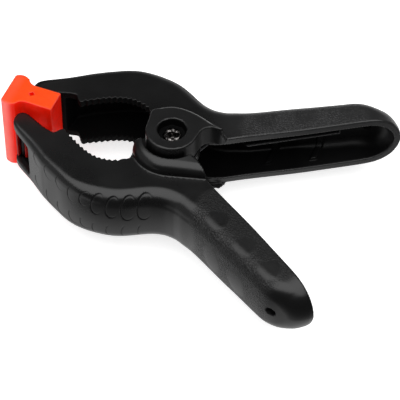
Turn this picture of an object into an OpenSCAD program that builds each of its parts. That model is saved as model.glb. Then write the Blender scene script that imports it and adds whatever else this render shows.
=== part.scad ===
// Spring clamp, 6 inch class, nylon arms with swivelling jaw pads.
// The clamp lies on its side. The pivot axis is vertical (Z), the jaw
// points to -X, the two handles to +X. The upper arm is the one at +Y.
// Two channel-section arms cross at a riveted pivot, a torsion spring
// round the rivet pushes the handles apart and so keeps the jaw shut.

/* [Arms] */
// Wall thickness of the web and of the two cheeks
wall = 3.1; // [2.4:0.1:4]
// Half width of an arm over its cheeks, at the handle
arm_half_w = 12.9; // [12:0.1:15]
// Half width of an arm at the tip of the jaw
tip_half_w = 12.6; // [11:0.1:13]
// Half width of the fork slot that takes the pad's lug
slot_half_w = 8.4; // [6:0.1:9]
// Where the fork slot ends in the web, from the pivot
slot_end = 53.6; // [51:0.1:56]
// Number of teeth on each jaw edge
teeth = 13; // [8:1:16]
// Spacing of the teeth
tooth_pitch = 2.05; // [1.5:0.05:2.6]
// Depth of a tooth
tooth_depth = 1.0; // [0.5:0.1:1.5]
// Diameter of the hanging hole in each handle
hang_hole_d = 3.5; // [3:0.1:6]
// Distance of the hanging hole from the pivot, along the handle
hang_hole_s = 80; // [60:0.5:81]

/* [Pivot] */
// Height of the ear faces from the middle plane, half the pivot's height
ear_half_h = 22.1; // [21:0.1:24]
// Radius of the flat ear disc
ear_r = 10.3; // [9:0.1:12]
// Height of the collar's top from the middle plane
collar_h = 18.2; // [15:0.1:18.4]
// Diameter of the recess the rivet head sits in
recess_d = 11.3; // [9:0.1:13]
// Depth of the recess
recess_depth = 3.9; // [2:0.1:5]
// Diameter of the rivet's shank
rivet_d = 5.0; // [4:0.1:6]
// Radial running clearance of the shank in the outer ears
run_clear = 0.06; // [0.02:0.01:0.1]
// Thickness of the inner ear
inner_ear_t = 3.0; // [2:0.1:4]
// Gap between the outer and the inner ear
ear_gap = 0.3; // [0.2:0.05:0.6]

/* [Pads] */
// Half width of a pad, along the pivot axis
pad_half_w = 17.9; // [14:0.1:19]
// Thickness of the pad's bar
pad_t = 4.7; // [3.5:0.1:6]
// Distance of the pad's tip from the pivot
pad_tip = 70; // [68:0.5:72]
// Distance of the pad's inner end from the pivot
pad_inner = 49.6; // [49:0.1:52]
// Diameter of the pad's pin
pad_pin_d = 3.0; // [2.5:0.1:3.4]
// Half the gap between the closed pads
pad_gap = 0.1; // [0.05:0.05:0.3]

/* [Spring] */
// Wire diameter of the torsion spring
wire_d = 2.2; // [1.6:0.1:2.6]
// Mean radius of the coil
coil_r = 6.4; // [5.8:0.1:7.5]
// Number of whole turns of the coil
coil_turns = 6; // [4:1:6]

/* [Hidden] */
black = [0.13, 0.13, 0.135];
orange = [0.93, 0.22, 0.10];
steel = [0.72, 0.72, 0.74];
// the origin is under the middle of the clamp, on the surface it lies on
shift_x = -3.6;
// pin of a pad, seen from the pivot
pin_x = -60.3;
pin_y = 8.9;
pad_clear_r = 4.2;
// heights of the ears
inner_out = arm_half_w - 0.5;
inner_in = inner_out - inner_ear_t;
outer_in = inner_out + ear_gap;
floor_z = ear_half_h - recess_depth;
// slope and offset of the handles' rim line, y = rim_m * x + rim_c
rim_m = 0.65;
rim_c = -1.2;
rim_a = atan(rim_m);
rim_off = rim_c * cos(rim_a);
// how far the handle's rim stands out beyond that line, towards its end
rim_out = 1.0;

// A point of the upper arm given along the handle (s from the pivot's
// foot on the rim line, h away from the rim, towards the back).
function hp(s, h) = [s * cos(rim_a) - (h + rim_off) * sin(rim_a), s * sin(rim_a) + (h + rim_off) * cos(rim_a)];
// A station of the arm: inner edge, back, half width, back fillet.
function st(i, o, w, r) = [i[0], i[1], o[0], o[1], w, r];
function sth(s, h, w, r) = st(hp(s, -rim_out), hp(s, h), w, r);

w0 = tip_half_w;
w1 = arm_half_w;
// Stations of the upper arm from the nose of the jaw to the handle's end.
stations = [
    st([-63.4, 8.4], [-63.4, 9.8], w0 - 0.8, 0.5),
    st([-62.9, 7.0], [-62.6, 12.0], w0 - 0.1, 1.2),
    st([-61.2, 5.8], [-60.4, 14.2], w0, 1.8),
    st([-59.0, 6.0], [-57.0, 16.6], w0, 2.4),
    st([-54.5, 8.0], [-53.2, 19.2], w0, 3.0),
    st([-50.3, 10.1], [-49.2, 22.3], w0, 3.6),
    st([-46.4, 11.1], [-45.4, 25.2], w0 + 0.1, 4.4),
    st([-44.4, 9.0], [-43.4, 26.6], w0 + 0.1, 4.8),
    st([-42.4, 7.7], [-41.2, 28.1], w0 + 0.2, 5.2),
    st([-39.6, 9.4], [-37.4, 30.5], w0 + 0.2, 5.6),
    st([-35.0, 12.2], [-32.6, 33.2], w1, 6.0),
    st([-30.0, 14.7], [-27.4, 35.1], w1, 6.4),
    st([-25.0, 16.1], [-21.6, 35.9], w1, 6.6),
    st([-19.5, 15.6], [-15.6, 35.6], w1, 6.6),
    st([-15.0, 13.6], [-9.6, 34.0], w1, 6.6),
    st([-10.5, 10.6], [-4.6, 31.5], w1, 6.6),
    st([-6.0, 10.8], [-0.4, 29.2], w1, 6.4),
    st([-1.0, 11.9], [3.6, 27.4], w1, 6.2),
    st([4.4, 11.2], [7.6, 26.6], w1, 6.0),
    st([8.6, 8.4], [11.4, 26.8], w1, 6.0),
    st([12.4, 8.0], [14.8, 27.8], w1, 6.0),
    st(hp(21.0, 0), hp(28.6, 16.3), w1, 6.0),
    st(hp(28.0, -0.08 * rim_out), hp(33.4, 15.3), w1, 6.0),
    st(hp(36.0, -0.36 * rim_out), hp(39.4, 14.7), w1, 6.0),
    st(hp(45.0, -0.75 * rim_out), hp(46.4, 14.2), w1, 6.0),
    sth(53.0, 13.7, w1, 6.0),
    sth(60.0, 13.15, w1, 5.8),
    sth(70.0, 12.45, w1, 5.7),
    sth(76.0, 11.85, w1, 5.7),
    sth(81.0, 10.3, w1 - 0.5, 5.6),
    sth(85.0, 8.6, w1 - 2.1, 5.0),
    sth(88.0, 6.8, w1 - 4.7, 4.0),
    sth(90.2, 3.9, w1 - 8.7, 2.4),
    sth(90.9, 1.6, w1 - 11.6, 0.9)
];

// Catmull-Rom interpolation of rows, k steps between two rows.
function cr(a, b, c, d, t) = 0.5 * ((2 * b) + (c - a) * t + (2 * a - 5 * b + 4 * c - d) * t * t + (3 * b - a - 3 * c + d) * t * t * t);
function fine(p, k) = [for (i = [0 : len(p) - 2]) for (j = [0 : k - 1]) cr(p[max(i - 1, 0)], p[i], p[i + 1], p[min(i + 2, len(p) - 1)], j / k), p[len(p) - 1]];

// One rounded section of an arm as 3-D points, n steps to each fillet.
function section(r, n) = let(i = [r[0], r[1]], o = [r[2], r[3]], l = norm(o - i), d = (o - i) / l, w = r[4], f = min(r[5], w - 0.05, l - 0.05),
    q = concat([[0, w]], [for (k = [0 : n]) [l - f + f * sin(90 * k / n), w - f + f * cos(90 * k / n)]],
        [for (k = [n : -1 : 0]) [l - f + f * sin(90 * k / n), -w + f - f * cos(90 * k / n)]], [[0, -w]]))
    [for (p = q) [i[0] + d[0] * p[0], i[1] + d[1] * p[0], p[1]]];

// Solid skin over a list of sections with the same number of points.
module skin(rows, n) {
    secs = [for (r = rows) section(r, n)];
    m = len(secs[0]);
    c = len(secs);
    pts = [for (s = secs) for (p = s) p];
    side = [for (i = [0 : c - 2]) for (j = [0 : m - 1]) let(a = i * m + j, b = i * m + (j + 1) % m) each [[a, b, b + m], [a, b + m, a + m]]];
    polyhedron(points = pts, faces = concat(side, [[for (j = [m - 1 : -1 : 0]) j]], [[for (j = [0 : m - 1]) (c - 1) * m + j]]), convexity = 6);
}

// The channel inside an arm: the same stations, one wall smaller.
function inset(r, t) = let(i = [r[0], r[1]], o = [r[2], r[3]], d = (o - i) / norm(o - i), a = i - d * 4 + [0.23, 0.11], b = o - d * t)
    [a[0], a[1], b[0], b[1], r[4] - t, max(r[5] - t, 0.8)];
channel_rows = concat(
    [for (k = [5 : 28]) inset(stations[k], wall)],
    [inset(sth(80.4, 10.4, w1 - 0.4, 5.2), wall), inset(sth(84.0, 9.2, w1 - 2.4, 4.6), wall), inset(sth(86.8, 8.0, w1 - 5.4, 4.0), wall), inset(sth(88.5, 6.2, w1 - 9.0, 2.8), wall)]);

// Inner edge of the jaw between the shoulder and the pivot.
function jaw_edge(x) = lookup(x, [[-42.4, 7.9], [-39.6, 9.4], [-35, 12.2], [-30, 14.7], [-27.5, 15.6], [-25, 16.0], [-22, 16.1], [-19.5, 15.6], [-17, 14.7], [-15, 13.6]]);

// Notches between the teeth, cut through both cheeks.
module tooth_notches() {
    for (k = [0 : teeth - 1]) {
        x = -41.2 + k * tooth_pitch;
        dy = jaw_edge(x + 0.5) - jaw_edge(x - 0.5);
        translate([x, jaw_edge(x) - 0.15, -20])
            rotate([0, 0, atan(dy)])
                linear_extrude(height = 40)
                    polygon([[-tooth_pitch * 0.52, -0.4], [tooth_pitch * 0.52, -0.4], [0.1, tooth_depth]]);
    }
}

// Frame of the upper handle: X along the rim line, Y towards the back.
module on_handle() {
    rotate([0, 0, rim_a]) translate([0, rim_off, 0]) children();
}

// Arm common to both sides, drawn as the upper one, without its ears.
module arm_shell() {
    difference() {
        skin(fine(stations, 2), 5);
        skin(fine(channel_rows, 2), 3);
        // fork slot for the lug of the pad
        translate([-slot_end - 16, 0, -slot_half_w]) cube([16, 26, 2 * slot_half_w]);
        tooth_notches();
        // blind bores for the ends of the pad's pin
        translate([pin_x, pin_y, -tip_half_w + 1.2]) cylinder(h = 2 * tip_half_w - 2.4, r = pad_pin_d / 2 + run_clear, $fn = 48);
        // hanging hole
        on_handle() translate([hang_hole_s, 0, 0]) rotate([-90, 0, 0]) cylinder(h = 20, d = hang_hole_d, $fn = 48);
    }
    // ledge beside the cheek on the side of the spring's leg
    on_handle() {
        translate([0, 0, 5.7]) linear_extrude(height = arm_half_w - wall - 5.5)
            polygon([[26.4, 5.6], [28.3, 3.1], [30.5, 0.7], [67.6, 0.7], [67.6, 10.6], [50, 12.2], [38, 13], [30, 14], [26.4, 14.4]]);
    }
    // hoop ribs, drawn square to the pull of the mould
    for (r = [[30.2, 32.6, 23.2, 24.8, 30.5, 32.0], [46.1, 48.4, 32.0, 33.5, 39.4, 40.8]]) {
        translate([0, 0, -arm_half_w + wall - 0.1]) linear_extrude(height = 2 * (arm_half_w - wall + 0.1)) polygon([[r[0], r[4]], [r[1], r[5]], [r[1], r[5] + 2.4], [r[0], r[4] + 2.4]]);
        for (s = [0, 1]) mirror([0, 0, s]) translate([0, 0, arm_half_w - wall - 1.3]) linear_extrude(height = 1.4) polygon([[r[0], r[2]], [r[1], r[3]], [r[1], r[5] + 2.4], [r[0], r[4] + 2.4]]);
    }
}

// Outline of the outer ear: a disc with a tail towards the handle.
module ear_outline() {
    circle(r = ear_r, $fn = 96);
    polygon([[0, 0], [-10.3, -0.4], [-11.2, 6.2], [-10.6, 7.5], [-9.2, 8.8], [-6.8, 10.6], [-3.6, 11.9], [0, 12.3], [3.4, 12.0],
        [7.2, 11.2], [12.0, 9.6], [16.0, 8.4], [18.4, 7.9], [18.0, 7.6], [14.6, 7.1], [12.5, 6.2], [10.9, 5.3], [9.8, 3.4]]);
}

// Outer ear of the upper arm, above the middle plane: a boss that stands
// on the cheek and carries the recess for the rivet's head.
module outer_ear() {
    difference() {
        union() {
            translate([0, 0, outer_in]) linear_extrude(height = ear_half_h - outer_in) ear_outline();
            // wall from the boss out to the cheek, with draft
            intersection() {
                translate([0, 0, arm_half_w - wall]) cylinder(h = ear_half_h - arm_half_w + wall, r1 = 15.0, r2 = 12.3, $fn = 96);
                linear_extrude(height = 30) polygon([[0, 0], [-11, 6], [-20, 11.6], [-20, 20], [20, 20], [20, 9.8]]);
            }
            // tail that slopes down to the rim of the handle
            intersection() {
                translate([0, 0, arm_half_w - 0.3]) linear_extrude(height = 14) polygon([[4, 11], [9.4, 5.2], [10.9, 5.3], [12.5, 6.2], [14.6, 7.1], [18.6, 7.8], [20.2, 10.4], [21.0, 12.6], [12, 15.2], [4, 14]]);
                rotate([90, 0, 0]) linear_extrude(height = 60, center = true)
                    polygon([[0, 0], [0, ear_half_h], [7, ear_half_h], [22.0, arm_half_w + 0.2], [22.0, 0]]);
                rotate([0, -90, 0]) linear_extrude(height = 60, center = true)
                    polygon([[0, 0], [ear_half_h, 0], [ear_half_h, 9.6], [arm_half_w + 0.2, 15.0], [0, 15.8]]);
            }
        }
        // room for the inner ear
        translate([0, 0, -1]) cylinder(h = outer_in + 1, r = 11.2, $fn = 96);
        // recess for the rivet's head
        translate([0, 0, floor_z]) cylinder(h = 10, d = recess_d, $fn = 96);
        // the boss is cored from the inside, round a hub
        translate([0, 0, outer_in - 1]) difference() {
            cylinder(h = 4.2, r = 8.2, $fn = 96);
            cylinder(h = 10, r = 4.4, $fn = 64);
        }
    }
}

module upper_arm() {
    color(black) difference() {
        union() {
            arm_shell();
            for (s = [0, 1]) mirror([0, 0, s]) outer_ear();
        }
        translate([0, 0, -40]) cylinder(h = 80, r = rivet_d / 2 + run_clear, $fn = 64);
    }
}

// Inner ear of the lower arm, drawn above the middle plane: the cheek
// runs on as a disc round the rivet, and a rounded collar stands on it.
module inner_ear() {
    difference() {
        union() {
            translate([0, 0, inner_in]) cylinder(h = inner_ear_t, r = 11.0, $fn = 96);
            intersection() {
                hull() {
                    translate([0, 0, arm_half_w - wall]) linear_extrude(height = collar_h - 4.1 - arm_half_w + wall) collar_outline(15.9);
                    translate([0, 0, collar_h - 2.8]) linear_extrude(height = 0.1) collar_outline(15.6);
                    translate([0, 0, collar_h - 1.6]) linear_extrude(height = 0.1) collar_outline(14.9);
                    translate([0, 0, collar_h - 0.7]) linear_extrude(height = 0.1) collar_outline(13.8);
                    translate([0, 0, collar_h - 0.1]) linear_extrude(height = 0.1) collar_outline(12.3);
                }
                // below the rim line and behind the front of the knuckle
                linear_extrude(height = 40) polygon([[-13.1, -5.8], [-11.2, -4.8], [-8, -3.8], [0, -2.6], [4.0, -4.2], [8.6, -5.5], [10.6, -6.1], [13.3, -7.0], [19.3, -11.4], [24, -14.7], [24, -30], [-13.1, -30]]);
            }
            // web from the disc to the cheek at the front of the knuckle
            translate([0, 0, inner_in]) linear_extrude(height = inner_ear_t) polygon([[-13.1, -13.8], [-13.1, -3.6], [-10.4, 3.2], [0, 0], [0, -12], [-8, -14]]);
            // spool boss for the spring's coil
            translate([0, 0, 4.6]) cylinder(h = inner_in - 4.4, r = 4.5, $fn = 64);
        }
        // seat of the outer ear inside the collar
        translate([0, 0, inner_out]) cylinder(h = 20, r = 11.4, $fn = 96);
    }
}

// Outline of the collar at radius r, with its run towards the handle.
module collar_outline(r) {
    circle(r = r, $fn = 64);
    polygon([[0, -r], [3.4, -r + 0.3], [22, -r + 5.2], [16, -4], [0, 0]]);
}

module lower_arm() {
    color(black) difference() {
        union() {
            rotate([180, 0, 0]) arm_shell();
            for (s = [0, 1]) mirror([0, 0, s]) inner_ear();
        }
        translate([0, 0, -40]) cylinder(h = 80, d = rivet_d, $fn = 64);
    }
}

// Jaw pad, drawn as the upper one: a bar with a hooked tip that wraps the
// nose of the arm, a V groove in its face and a lug for the pin.
module pad() {
    difference() {
        union() {
            intersection() {
                translate([0, 0, -pad_half_w]) linear_extrude(height = 2 * pad_half_w) difference() {
                    polygon([[-pad_tip, pad_gap + 0.5], [-pad_tip + 0.5, pad_gap], [-pad_inner - 0.6, pad_gap], [-pad_inner, pad_gap + 0.6], [-pad_inner, pad_t - 0.4], [-pad_inner - 0.4, pad_t],
                        [pin_x, pad_t + 0.02], [pin_x, 10], [-63.9, 7.5], [-65.0, 8.1], [-66.7, 8.3], [-68.2, 7.7], [-69.3, 6.6], [-pad_tip, 5.5]]);
                    translate([pin_x, pin_y]) circle(r = pad_clear_r, $fn = 96);
                    // V groove across the face
                    polygon([[-61.3, -1], [-61.3, pad_gap], [-60.0, pad_gap + 1.1], [-58.7, pad_gap], [-58.7, -1]]);
                }
                // rounded corners at both ends of the width
                rotate([90, 0, 0]) linear_extrude(height = 40, center = true) hull() {
                    for (x = [-pad_tip + 2, -pad_inner - 2]) for (z = [-1, 1]) translate([x, z * (pad_half_w - 2)]) circle(r = 2, $fn = 48);
                }
            }
            // lug round the pin
            translate([pin_x, pin_y, -slot_half_w + 0.4]) cylinder(h = 2 * slot_half_w - 0.8, r = 3.1, $fn = 64);
            translate([pin_x - 3.1, pad_t - 1, -slot_half_w + 0.4]) cube([6.2, pin_y - pad_t + 1, 2 * slot_half_w - 0.8]);
        }
        translate([pin_x, pin_y, -20]) cylinder(h = 40, d = pad_pin_d, $fn = 48);
    }
}

module upper_pad() { color(orange) pad(); }
module lower_pad() { color(orange) mirror([0, 1, 0]) pad(); }

module pad_pin() {
    translate([pin_x, pin_y, -tip_half_w + 1.4]) cylinder(h = 2 * tip_half_w - 2.8, d = pad_pin_d, $fn = 48);
}

module upper_pad_pin() { color(steel) pad_pin(); }
module lower_pad_pin() { color(steel) mirror([0, 1, 0]) pad_pin(); }

// Torsion spring: a close coil round the spool bosses and two short legs
// that bear on the floor of the channels. One leg leaves at each end.
module torsion_spring() {
    wr = wire_d / 2;
    leg_a = 70;
    leg = 27;
    top_z = 8.2;
    k = 150;
    // centre line: leg, coil, leg
    a0 = leg_a - 90;
    coil = [for (i = [0 : k]) let(a = a0 - i * (coil_turns * 360 - 180 + 2 * leg_a) / k) [coil_r * cos(a), coil_r * sin(a), top_z - 2 * top_z * i / k]];
    u1 = [cos(leg_a), sin(leg_a)];
    path = concat([[coil[0][0] + leg * u1[0], coil[0][1] + leg * u1[1], top_z]], coil, [[coil[k][0] + leg * u1[0], coil[k][1] - leg * u1[1], -top_z]]);
    n = len(path);
    m = 10;
    pts = [for (i = [0 : n - 1]) let(t = path[min(i + 1, n - 1)] - path[max(i - 1, 0)], h = [t[0], t[1], 0] / norm([t[0], t[1]]), s = [h[1], -h[0], 0])
        for (j = [0 : m - 1]) path[i] + wr * (cos(360 * j / m) * s + sin(360 * j / m) * [0, 0, 1])];
    side = [for (i = [0 : n - 2]) for (j = [0 : m - 1]) let(a = i * m + j, b = i * m + (j + 1) % m) each [[a, b, b + m], [a, b + m, a + m]]];
    color(steel) polyhedron(points = pts, faces = concat(side, [[for (j = [m - 1 : -1 : 0]) j]], [[for (j = [0 : m - 1]) (n - 1) * m + j]]), convexity = 8);
}

// Semi-tubular rivet: flat head above, curled end on a washer below.
module pivot_rivet() {
    color(steel) difference() {
        union() {
            translate([0, 0, -floor_z - 1.2]) cylinder(h = 2 * floor_z + 1.4, d = rivet_d, $fn = 64);
            // head with a chamfered rim
            translate([0, 0, floor_z + 0.15]) cylinder(h = 0.8, r = 3.6, $fn = 64);
            translate([0, 0, floor_z + 0.95]) cylinder(h = 0.5, r1 = 3.6, r2 = 3.0, $fn = 64);
            // curled end
            translate([0, 0, -floor_z - 1.75]) cylinder(h = 0.8, r1 = 3.0, r2 = 3.5, $fn = 64);
        }
        // hollow of the tubular ends
        translate([0, 0, floor_z - 2]) cylinder(h = 10, r = 1.5, $fn = 48);
        translate([0, 0, -floor_z - 8]) cylinder(h = 12, r = 1.5, $fn = 48);
    }
}

module rivet_washer() {
    color(steel) translate([0, 0, -floor_z - 0.95]) difference() {
        cylinder(h = 0.8, r = 4.8, $fn = 64);
        translate([0, 0, -1]) cylinder(h = 3, d = rivet_d, $fn = 64);
    }
}

// the whole clamp stands on the face of its lower ear
module placed() { translate([shift_x, 0, ear_half_h]) children(); }

placed() lower_arm();
placed() upper_arm();
placed() lower_pad();
placed() upper_pad();
placed() lower_pad_pin();
placed() upper_pad_pin();
placed() torsion_spring();
placed() pivot_rivet();
placed() rivet_washer();
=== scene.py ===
"""Spring clamp, looks.  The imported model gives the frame; the pieces that are seen are
modelled here as distance fields in millimetres round the pivot and meshed by surface nets."""
import math

import bmesh
import bpy
import numpy as np
from mathutils import Matrix, Vector


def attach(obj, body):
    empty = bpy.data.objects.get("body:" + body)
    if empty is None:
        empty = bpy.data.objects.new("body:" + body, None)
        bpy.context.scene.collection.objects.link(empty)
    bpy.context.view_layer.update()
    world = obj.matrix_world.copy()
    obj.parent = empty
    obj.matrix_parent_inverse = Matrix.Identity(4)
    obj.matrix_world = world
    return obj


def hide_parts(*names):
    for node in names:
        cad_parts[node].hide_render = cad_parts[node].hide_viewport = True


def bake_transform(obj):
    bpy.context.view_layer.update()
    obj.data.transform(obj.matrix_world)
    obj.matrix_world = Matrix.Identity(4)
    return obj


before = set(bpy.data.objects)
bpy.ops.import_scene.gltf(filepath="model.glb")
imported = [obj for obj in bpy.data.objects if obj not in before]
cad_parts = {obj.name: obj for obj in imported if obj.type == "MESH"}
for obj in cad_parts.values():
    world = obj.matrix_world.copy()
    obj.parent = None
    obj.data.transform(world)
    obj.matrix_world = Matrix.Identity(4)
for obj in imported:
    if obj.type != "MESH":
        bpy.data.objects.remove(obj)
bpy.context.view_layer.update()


# ---------------------------------------------------------------- frames
# Everything here is in millimetres in the pivot's own frame: the pivot axis
# is x = y = 0, the middle plane is z = 0, the jaw points to -x.
A = np.arctan(0.65)
CA, SA = np.cos(A), np.sin(A)
OFF = -1.2 * CA


def hp(s, h):
    return (s * CA - (h + OFF) * SA, s * SA + (h + OFF) * CA)


def sh(x, y):
    """handle coordinates of a point of the upper arm: along the rim, and away from it"""
    return x * CA + y * SA, -x * SA + y * CA - OFF


def st(i, o, w, r):
    return (i[0], i[1], o[0], o[1], w, r)


W0, W1 = 12.6, 12.9
ST = [
    st((-63.4, 8.4), (-63.4, 9.8), W0, 0.5), st((-62.9, 7.0), (-62.6, 12.0), W0, 1.2),
    st((-61.2, 5.8), (-60.4, 14.2), W0, 1.8), st((-59.0, 6.0), (-57.0, 16.6), W0, 2.4),
    st((-54.5, 8.0), (-53.2, 19.2), W0, 3.0), st((-50.3, 9.8), (-49.2, 22.3), W0, 3.6),
    st((-45.9, 10.7), (-45.4, 25.2), W0, 4.4), st((-44.1, 8.7), (-43.4, 26.45), W0, 4.8),
    st((-42.4, 7.7), (-41.0, 27.9), W0, 5.2), st((-39.6, 9.4), (-37.1, 30.0), W0, 5.6),
    st((-35.0, 12.2), (-32.3, 32.5), W1, 6.0), st((-30.0, 14.7), (-27.2, 34.2), W1, 6.4),
    st((-25.0, 16.1), (-21.6, 35.1), W1, 6.6), st((-19.5, 15.6), (-15.7, 35.1), W1, 6.6),
    st((-15.0, 13.6), (-9.7, 33.8), W1, 6.6), st((-10.5, 10.6), (-4.6, 31.5), W1, 6.6),
    st((-6.0, 10.8), (-0.4, 29.2), W1, 6.4), st((-1.0, 11.9), (3.6, 27.4), W1, 6.2),
    st((4.4, 11.2), (7.6, 26.6), W1, 6.0), st((8.6, 8.4), (11.4, 26.92), W1, 6.0),
    st((12.4, 8.0), (13.5, 27.53), W1, 6.0), st(hp(21, 0), hp(28.6, 16.3), W1, 6.0),
    st(hp(28, 0), hp(33.4, 15.3), W1, 6.0), st(hp(36, 0), hp(39.4, 14.7), W1, 6.0),
    st(hp(45, 0), hp(46.4, 14.2), W1, 6.0), st(hp(53, 0), hp(53, 13.7), W1, 6.0),
    st(hp(60, 0), hp(60, 13.1), W1, 5.8), st(hp(70, 0), hp(70, 12.4), W1, 5.6),
    st(hp(76, 0), hp(76, 11.8), W1, 5.4), st(hp(81, 0), hp(81, 10.2), W1, 5.2),
    st(hp(85, 0), hp(85, 8.2), W1, 4.6), st(hp(88, 0), hp(88, 6.0), W1, 3.6),
    st(hp(90.2, 0), hp(90.2, 3.6), W1, 2.2), st(hp(91.5, 0), hp(91.5, 1.4), W1, 0.9),
]
ST = np.array(ST)


def catmull(P, k):
    P = np.asarray(P, float)
    out = []
    n = len(P)
    for i in range(n - 1):
        a, b, c, d = P[max(i - 1, 0)], P[i], P[i + 1], P[min(i + 2, n - 1)]
        for j in range(k):
            t = j / k
            out.append(0.5 * (2 * b + (c - a) * t + (2 * a - 5 * b + 4 * c - d) * t * t + (3 * b - a - 3 * c + d) * t ** 3))
    out.append(P[-1])
    return np.array(out)


def seg_dist(P, poly):
    """unsigned distance of 2-D points to an open polyline"""
    best = np.full(len(P), 1e9)
    for a, b in zip(poly[:-1], poly[1:]):
        e = b - a
        L = e @ e
        if L < 1e-12:
            continue
        w = P - a
        t = np.clip((w @ e) / L, 0, 1)
        q = w - t[:, None] * e
        best = np.minimum(best, (q * q).sum(1))
    return np.sqrt(best)


def inside(P, poly):
    x, y = P[:, 0], P[:, 1]
    c = np.zeros(len(P), bool)
    n = len(poly)
    for i in range(n):
        x0, y0 = poly[i]
        x1, y1 = poly[(i + 1) % n]
        if y0 == y1:
            continue
        hit = ((y0 > y) != (y1 > y)) & (x < (x1 - x0) * (y - y0) / (y1 - y0) + x0)
        c ^= hit
    return c


class Field2:
    """a signed distance on a regular 2-D grid, read with bilinear interpolation"""

    def __init__(self, lo, hi, step, curve, region):
        self.lo, self.step = np.array(lo, float), step
        self.n = np.ceil((np.array(hi) - self.lo) / step).astype(int) + 1
        gx, gy = np.meshgrid(self.lo[0] + step * np.arange(self.n[0]), self.lo[1] + step * np.arange(self.n[1]), indexing="ij")
        P = np.stack([gx.ravel(), gy.ravel()], 1)
        d = seg_dist(P, np.asarray(curve, float))
        s = inside(P, np.asarray(region, float))
        self.v = np.where(s, -d, d).reshape(self.n)

    def __call__(self, x, y):
        u = np.clip((x - self.lo[0]) / self.step, 0, self.n[0] - 1.001)
        v = np.clip((y - self.lo[1]) / self.step, 0, self.n[1] - 1.001)
        i, j = u.astype(int), v.astype(int)
        a, b = u - i, v - j
        g = self.v
        return (g[i, j] * (1 - a) + g[i + 1, j] * a) * (1 - b) + (g[i, j + 1] * (1 - a) + g[i + 1, j + 1] * a) * b


# ------------------------------------------------------------ blends
def rint(a, b, r):
    """intersection with a round edge of radius r"""
    u = np.maximum(a + r, 0)
    v = np.maximum(b + r, 0)
    return np.minimum(-r, np.maximum(a, b)) + np.sqrt(u * u + v * v)


def runi(a, b, r):
    """union with a round inner corner of radius r"""
    u = np.maximum(r - a, 0)
    v = np.maximum(r - b, 0)
    return np.maximum(r, np.minimum(a, b)) - np.sqrt(u * u + v * v)


def rsub(a, b, r):
    """a without b, edges rounded"""
    return rint(a, -b, r)


def step(x, a, b):
    t = np.clip((x - a) / (b - a), 0, 1)
    return t * t * (3 - 2 * t)


def box2(u, v, hu, hv):
    a, b = np.abs(u) - hu, np.abs(v) - hv
    return np.minimum(np.maximum(a, b), 0) + np.hypot(np.maximum(a, 0), np.maximum(b, 0))


# --------------------------------------------------------- arm profile
K = 6
IC = catmull(ST[:, 0:2], K)
OC = catmull(ST[:, 2:4], K)
END = np.array(hp(91.5, 0))
BACK = np.vstack([[-63.4, -80], [-63.4, 8.4], OC, END, hp(91.5, -80)])
F_BACK = Field2((-72, -14), (88, 62), 0.3, BACK, BACK)
RIM = np.vstack([[-120, 8.4], IC, hp(150, 0)])
F_RIM = Field2((-72, -14), (88, 62), 0.3, RIM, np.vstack([RIM, [150, 300], [-120, 300]]))
PLAN = catmull([(50, 12.9), (62, 12.9), (70, 12.9), (76, 12.85), (80, 12.5), (83, 11.55), (85.5, 9.95), (87.4, 8.15), (88.9, 6.2), (90.1, 4.2), (90.9, 2.4), (91.3, 0.9), (91.4, 0)], 6)
F_PLAN = Field2((50, 0), (100, 26), 0.3, PLAN, np.vstack([PLAN, [50, 0]]))
RX = np.array([-63.4, -60.4, -57.0, -53.2, -49.2, -45.4, -41.2, -37.4, -32.6, -27.4, -21.6, -17.0, -5.0, 8.0])
RV = np.array([0.9, 1.6, 2.2, 2.7, 3.2, 3.5, 3.7, 3.8, 3.9, 4.1, 5.0, 5.7, 5.8, 6.1])
SX = np.array([30.0, 60.0, 70.0, 76.0, 81.0, 85.0, 88.0, 91.5])
SV = np.array([6.1, 5.8, 5.7, 5.8, 6.0, 6.2, 5.6, 4.6])
WALL = 3.1


def fillet_r(x, s):
    return np.where(s > 30, np.interp(s, SX, SV), np.interp(x, RX, RV))


def notch(x):
    """depth of the notches between the teeth of the throat"""
    p = 2.05
    x0 = -41.2
    k = np.round((x - x0) / p)
    k = np.clip(k, 0, 12)
    u = (x - x0) - k * p
    return 0.8 * np.clip(1 - np.abs(u - 0.12) / (0.5 * p), 0, 1)


# how the handle widens towards its end: cheeks apart, rim and back out, end longer
PR = dict(dw=0.0, rim=0.9, back=0.34, end=1.0, jaw=0.0)


def crown(az):
    """how far the back web stands out towards its middle"""
    u = az / 7.0
    g = np.where(u < 1, 0.5 * u * u, np.where(u < 1.6, u - 0.5 - (u - 1) ** 2 / 1.2, 0.8))
    return 0.9 * (0.8 - g)


# smooth ovals on the jaw's back, one row on each side of the middle: along, across, half sizes
OVALS = np.array([
    (22.3, 9.3, 3.1, 3.4), (30.4, 9.3, 3.1, 3.7), (37.8, 9.5, 2.9, 3.4), (44.5, 8.5, 2.6, 4.2), (49.9, 8.6, 2.4, 3.4),
    (55.1, 7.9, 2.5, 4.8), (61.1, 7.4, 2.7, 5.0), (67.4, 6.9, 3.1, 5.8), (73.7, 7.0, 3.1, 6.2),
    (22.2, -3.8, 3.1, 2.9), (30.8, -4.6, 3.1, 4.0), (37.9, -4.8, 2.9, 3.5), (44.7, -4.2, 2.6, 3.8), (50.0, -4.4, 2.4, 3.4),
    (55.4, -5.2, 2.5, 4.4), (61.1, -5.2, 2.7, 4.4), (67.4, -5.4, 3.1, 4.6), (73.7, -5.6, 3.1, 4.8)])


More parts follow.
